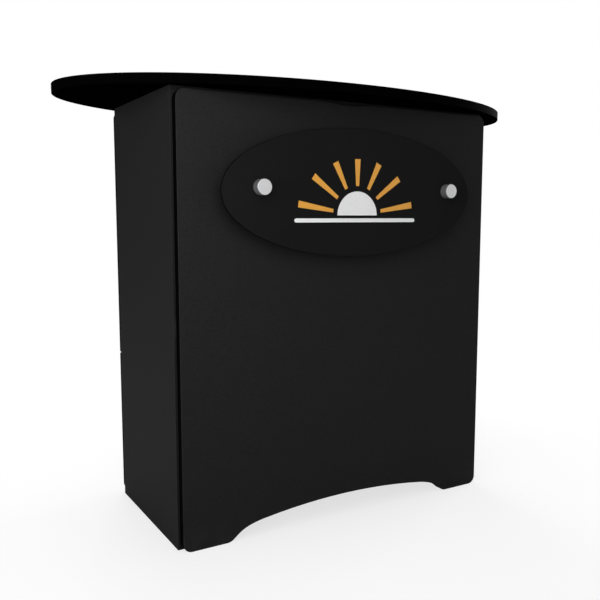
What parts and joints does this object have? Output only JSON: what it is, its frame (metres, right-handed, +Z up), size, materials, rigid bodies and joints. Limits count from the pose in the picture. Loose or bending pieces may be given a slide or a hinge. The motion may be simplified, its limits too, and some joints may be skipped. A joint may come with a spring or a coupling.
{
  "type": "promotional counter",
  "caption": "Free-standing box counter with an oval top, an arched front panel, an oval sign on standoffs and two lockable rear doors.",
  "frame": {"origin": "on the floor under the centre of the oval countertop", "axes": "+Z up; -Y is the front with the sign, +Y the rear with the doors; +X is to the right seen from the front"},
  "size_m": [1.2209, 0.6079, 1.003],
  "materials": {
    "top_laminate": "black satin laminate on board",
    "edge_band": "black matt edge band",
    "carcass_laminate": "black melamine faced board",
    "front_paint": "black satin painted board",
    "door_paint": "black satin painted board",
    "sign_acrylic": "black matt sheet",
    "satin_aluminium": "satin turned",
    "zinc_steel": "zinc plated",
    "hinge_steel": "dark nickel plated",
    "pull_steel": "satin nickel",
    "lock_chrome": "polished",
    "dowel_wood": "raw beech",
    "glide_plastic": "moulded black",
    "bumper_rubber": "soft black",
    "emblem_white": "white film-faced plastic",
    "emblem_amber": "amber film-faced plastic"
  },
  "bodies": {
    "carcass": {"countertop": "top_laminate", "countertop_edge_band": "edge_band", "left_side_panel": "carcass_laminate", "right_side_panel": "carcass_laminate", "inner_front_panel": "carcass_laminate", "base_shelf": "carcass_laminate", "rear_toe_rail": "carcass_laminate", "middle_shelf": "carcass_laminate", "front_top_rail": "carcass_laminate", "rear_top_rail": "carcass_laminate", "adjustable_shelf": "carcass_laminate", "shelf_pins": "zinc_steel", "cam_discs": "zinc_steel", "cam_bolts": "zinc_steel", "wood_dowels": "dowel_wood", "floor_glides": "glide_plastic", "countertop_screws": "zinc_steel", "front_panel": "front_paint", "front_panel_screws": "zinc_steel", "sign_plaque": "sign_acrylic", "standoff_barrels": "satin_aluminium", "standoff_caps": "satin_aluminium", "standoff_studs": "zinc_steel", "emblem_sun": "emblem_white", "emblem_rays": "emblem_amber", "upper_hinge_frame_leaf": "hinge_steel", "lower_hinge_frame_leaf": "hinge_steel", "upper_hinge_pin": "hinge_steel", "lower_hinge_pin": "hinge_steel", "upper_hinge_frame_screws": "zinc_steel", "lower_hinge_frame_screws": "zinc_steel", "magnet_catches": "glide_plastic", "lock_keepers": "zinc_steel", "catch_and_keeper_screws": "zinc_steel"},
    "upper_door": {"upper_door": "door_paint", "upper_hinge_door_leaf": "hinge_steel", "upper_hinge_door_screws": "zinc_steel", "upper_door_pull": "pull_steel", "upper_pull_screws": "zinc_steel", "upper_lock_housing": "lock_chrome", "upper_lock_nut": "zinc_steel", "upper_door_bumpers": "bumper_rubber", "upper_strike_plate": "zinc_steel"},
    "lower_door": {"lower_door": "door_paint", "lower_hinge_door_leaf": "hinge_steel", "lower_hinge_door_screws": "zinc_steel", "lower_door_pull": "pull_steel", "lower_pull_screws": "zinc_steel", "lower_lock_housing": "lock_chrome", "lower_lock_nut": "zinc_steel", "lower_door_bumpers": "bumper_rubber", "lower_strike_plate": "zinc_steel"},
    "upper_lock": {"upper_lock_plug": "lock_chrome", "upper_lock_cam": "zinc_steel"},
    "lower_lock": {"lower_lock_plug": "lock_chrome", "lower_lock_cam": "zinc_steel"}
  },
  "joints": [
    {"name": "upper_door_hinge", "type": "hinge", "parent": "carcass", "child": "upper_door", "pos_m": [0.42225, 0.19175, 0.68], "axis": [0, 0, -1], "range_deg": [0, 170]},
    {"name": "lower_door_hinge", "type": "hinge", "parent": "carcass", "child": "lower_door", "pos_m": [0.42225, 0.19175, 0.19], "axis": [0, 0, -1], "range_deg": [0, 170]},
    {"name": "upper_lock_turn", "type": "hinge", "parent": "upper_door", "child": "upper_lock", "pos_m": [-0.378, 0.2, 0.905], "axis": [0, -1, 0], "range_deg": [0, 90]},
    {"name": "lower_lock_turn", "type": "hinge", "parent": "lower_door", "child": "lower_lock", "pos_m": [-0.378, 0.2, 0.3], "axis": [0, -1, 0], "range_deg": [0, 90]}
  ]
}
